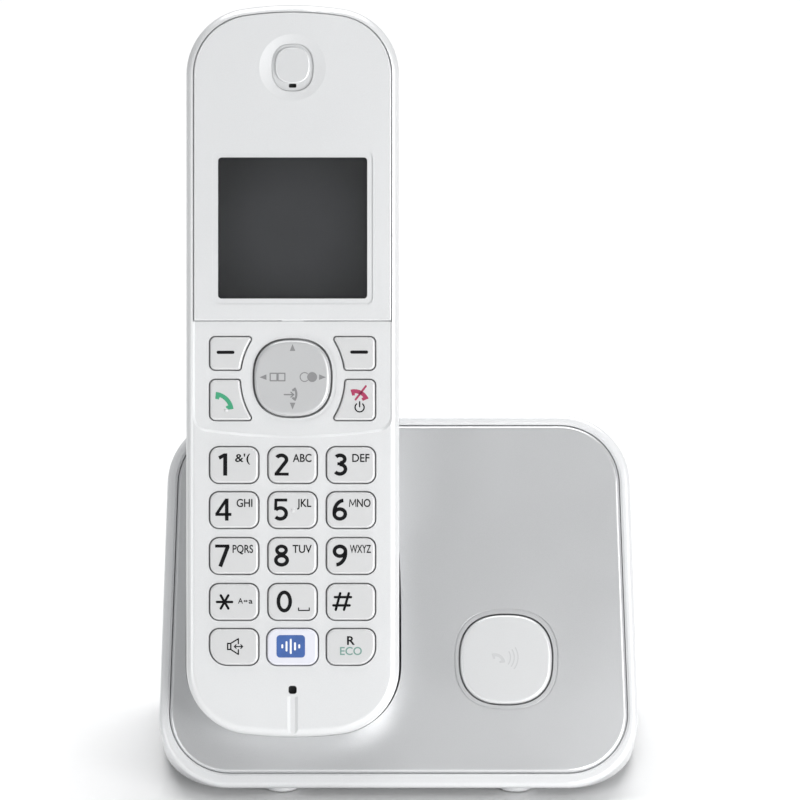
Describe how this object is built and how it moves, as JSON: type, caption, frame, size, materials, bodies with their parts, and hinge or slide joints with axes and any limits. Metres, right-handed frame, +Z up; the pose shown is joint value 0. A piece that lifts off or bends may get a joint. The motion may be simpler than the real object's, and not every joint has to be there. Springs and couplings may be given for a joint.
{
  "type": "cordless phone with base",
  "caption": "Silver cordless telephone handset leaning back in a wedge-shaped charging base, with a display, a four-way navigator, a keypad and a handset-locator button.",
  "frame": {"origin": "on the floor, at the middle of the whole phone's width and depth", "axes": "+X to the right seen from the front, +Y to the rear, +Z up; the handset leans back 16 degrees"},
  "size_m": [0.1082, 0.0814, 0.175],
  "materials": {
    "dark_ink": "black print",
    "grey_ink": "grey print",
    "green_ink": "green print",
    "red_ink": "crimson print",
    "teal_ink": "grey-green print",
    "blue_label": "blue label",
    "white_ink": "white print",
    "pearl_ink": "pearl print",
    "handset_shell": "silver, satin",
    "bezel": "silver, satin",
    "window": "clear over a dark display",
    "lcd": "dark grey display",
    "lcd_holder": "white",
    "earpiece": "silver",
    "keys": "grey, satin, printed legends",
    "navigator": "silver, satin, printed legends",
    "silicone": "translucent grey silicone",
    "transducer": "black",
    "board": "green solder mask",
    "sheet_metal": "tinned",
    "contact_metal": "nickel plated",
    "screw_steel": "zinc plated",
    "cell_jacket": "plain printed jacket",
    "base_shell": "silver, satin",
    "base_panel": "silver, satin",
    "locator": "silver, satin, printed sign",
    "socket": "black",
    "feet": "dark grey rubber"
  },
  "bodies": {
    "base": {"base_housing": "base_shell", "base_front_panel": "base_panel", "base_bottom_cover": "base_shell", "base_feet": "base_shell", "base_screws": "screw_steel", "base_charge_contacts": "contact_metal", "base_circuit_board": "board", "base_foot_pads": "feet", "base_shield_can": "sheet_metal", "base_antennas": "sheet_metal", "line_jack": "socket", "dc_jack": "socket", "locator_board": "board", "locator_switch": "socket"},
    "handset": {"handset_front_cover": "handset_shell", "handset_rear_cover": "handset_shell", "display_bezel": "bezel", "display_window": "window", "earpiece_insert": "earpiece", "keypad_membrane": "silicone", "lcd_module": "lcd", "lcd_frame": "lcd_holder", "earpiece_receiver": "transducer", "handset_microphone": "transducer", "ringer_speaker": "transducer", "handset_circuit_board": "board", "handset_shield_can": "sheet_metal", "handset_antenna": "sheet_metal", "handset_charge_contacts": "contact_metal", "handset_screws": "screw_steel", "battery_left": "cell_jacket", "battery_right": "cell_jacket", "battery_springs": "contact_metal", "battery_plates": "contact_metal"},
    "dial_key_1": {"dial_key_1": "keys"},
    "dial_key_2": {"dial_key_2": "keys"},
    "dial_key_3": {"dial_key_3": "keys"},
    "dial_key_4": {"dial_key_4": "keys"},
    "dial_key_5": {"dial_key_5": "keys"},
    "dial_key_6": {"dial_key_6": "keys"},
    "dial_key_7": {"dial_key_7": "keys"},
    "dial_key_8": {"dial_key_8": "keys"},
    "dial_key_9": {"dial_key_9": "keys"},
    "dial_key_star": {"dial_key_star": "keys"},
    "dial_key_0": {"dial_key_0": "keys"},
    "dial_key_hash": {"dial_key_hash": "keys"},
    "speaker_key": {"speaker_key": "keys"},
    "sound_key": {"sound_key": "keys"},
    "recall_key": {"recall_key": "keys"},
    "soft_key_left": {"soft_key_left": "keys"},
    "soft_key_right": {"soft_key_right": "keys"},
    "talk_key": {"talk_key": "keys"},
    "off_key": {"off_key": "keys"},
    "navigator_pad": {"navigator_pad": "navigator"},
    "navigator_key": {"navigator_key": "navigator"},
    "battery_cover": {"battery_cover": "handset_shell"},
    "locator_button": {"locator_button": "locator"}
  },
  "joints": [
    {"name": "handset_lift", "type": "slide", "parent": "base", "child": "handset", "axis": [0, 0.2756, 0.9613], "range_m": [0, 0.09]},
    {"name": "dial_key_1_press", "type": "slide", "parent": "handset", "child": "dial_key_1", "axis": [0, 0.9613, -0.2756], "range_m": [0, 0.0008], "stiffness_N_per_m": 400, "springref_m": -0.001},
    {"name": "dial_key_2_press", "type": "slide", "parent": "handset", "child": "dial_key_2", "axis": [0, 0.9613, -0.2756], "range_m": [0, 0.0008], "stiffness_N_per_m": 400, "springref_m": -0.001},
    {"name": "dial_key_3_press", "type": "slide", "parent": "handset", "child": "dial_key_3", "axis": [0, 0.9613, -0.2756], "range_m": [0, 0.0008], "stiffness_N_per_m": 400, "springref_m": -0.001},
    {"name": "dial_key_4_press", "type": "slide", "parent": "handset", "child": "dial_key_4", "axis": [0, 0.9613, -0.2756], "range_m": [0, 0.0008], "stiffness_N_per_m": 400, "springref_m": -0.001},
    {"name": "dial_key_5_press", "type": "slide", "parent": "handset", "child": "dial_key_5", "axis": [0, 0.9613, -0.2756], "range_m": [0, 0.0008], "stiffness_N_per_m": 400, "springref_m": -0.001},
    {"name": "dial_key_6_press", "type": "slide", "parent": "handset", "child": "dial_key_6", "axis": [0, 0.9613, -0.2756], "range_m": [0, 0.0008], "stiffness_N_per_m": 400, "springref_m": -0.001},
    {"name": "dial_key_7_press", "type": "slide", "parent": "handset", "child": "dial_key_7", "axis": [0, 0.9613, -0.2756], "range_m": [0, 0.0008], "stiffness_N_per_m": 400, "springref_m": -0.001},
    {"name": "dial_key_8_press", "type": "slide", "parent": "handset", "child": "dial_key_8", "axis": [0, 0.9613, -0.2756], "range_m": [0, 0.0008], "stiffness_N_per_m": 400, "springref_m": -0.001},
    {"name": "dial_key_9_press", "type": "slide", "parent": "handset", "child": "dial_key_9", "axis": [0, 0.9613, -0.2756], "range_m": [0, 0.0008], "stiffness_N_per_m": 400, "springref_m": -0.001},
    {"name": "dial_key_star_press", "type": "slide", "parent": "handset", "child": "dial_key_star", "axis": [0, 0.9613, -0.2756], "range_m": [0, 0.0008], "stiffness_N_per_m": 400, "springref_m": -0.001},
    {"name": "dial_key_0_press", "type": "slide", "parent": "handset", "child": "dial_key_0", "axis": [0, 0.9613, -0.2756], "range_m": [0, 0.0008], "stiffness_N_per_m": 400, "springref_m": -0.001},
    {"name": "dial_key_hash_press", "type": "slide", "parent": "handset", "child": "dial_key_hash", "axis": [0, 0.9613, -0.2756], "range_m": [0, 0.0008], "stiffness_N_per_m": 400, "springref_m": -0.001},
    {"name": "speaker_key_press", "type": "slide", "parent": "handset", "child": "speaker_key", "axis": [0, 0.9613, -0.2756], "range_m": [0, 0.0008], "stiffness_N_per_m": 400, "springref_m": -0.001},
    {"name": "sound_key_press", "type": "slide", "parent": "handset", "child": "sound_key", "axis": [0, 0.9613, -0.2756], "range_m": [0, 0.0008], "stiffness_N_per_m": 400, "springref_m": -0.001},
    {"name": "recall_key_press", "type": "slide", "parent": "handset", "child": "recall_key", "axis": [0, 0.9613, -0.2756], "range_m": [0, 0.0008], "stiffness_N_per_m": 400, "springref_m": -0.001},
    {"name": "soft_key_left_press", "type": "slide", "parent": "handset", "child": "soft_key_left", "axis": [0, 0.9613, -0.2756], "range_m": [0, 0.0008], "stiffness_N_per_m": 400, "springref_m": -0.001},
    {"name": "soft_key_right_press", "type": "slide", "parent": "handset", "child": "soft_key_right", "axis": [0, 0.9613, -0.2756], "range_m": [0, 0.0008], "stiffness_N_per_m": 400, "springref_m": -0.001},
    {"name": "talk_key_press", "type": "slide", "parent": "handset", "child": "talk_key", "axis": [0, 0.9613, -0.2756], "range_m": [0, 0.0008], "stiffness_N_per_m": 400, "springref_m": -0.001},
    {"name": "off_key_press", "type": "slide", "parent": "handset", "child": "off_key", "axis": [0, 0.9613, -0.2756], "range_m": [0, 0.0008], "stiffness_N_per_m": 400, "springref_m": -0.001},
    {"name": "navigator_tilt_up_down", "type": "hinge", "parent": "handset", "child": "navigator_pad", "pos_m": [-0.0238, -0.01416, 0.09354], "axis": [1, 0, 0], "range_deg": [-2.5, 2.5], "stiffness_Nm_per_rad": 0.15},
    {"name": "navigator_tilt_left_right", "type": "hinge", "parent": "navigator_pad", "child": "navigator_key", "pos_m": [-0.0238, -0.01522, 0.09385], "axis": [0, 0.2756, 0.9613], "range_deg": [-2.5, 2.5], "stiffness_Nm_per_rad": 0.15},
    {"name": "battery_cover_slide", "type": "slide", "parent": "handset", "child": "battery_cover", "axis": [0, -0.2756, -0.9613], "range_m": [0, 0.008]},
    {"name": "locator_button_press", "type": "slide", "parent": "base", "child": "locator_button", "axis": [0, 0.891, -0.454], "range_m": [0, 0.001], "stiffness_N_per_m": 400, "springref_m": -0.0015}
  ]
}
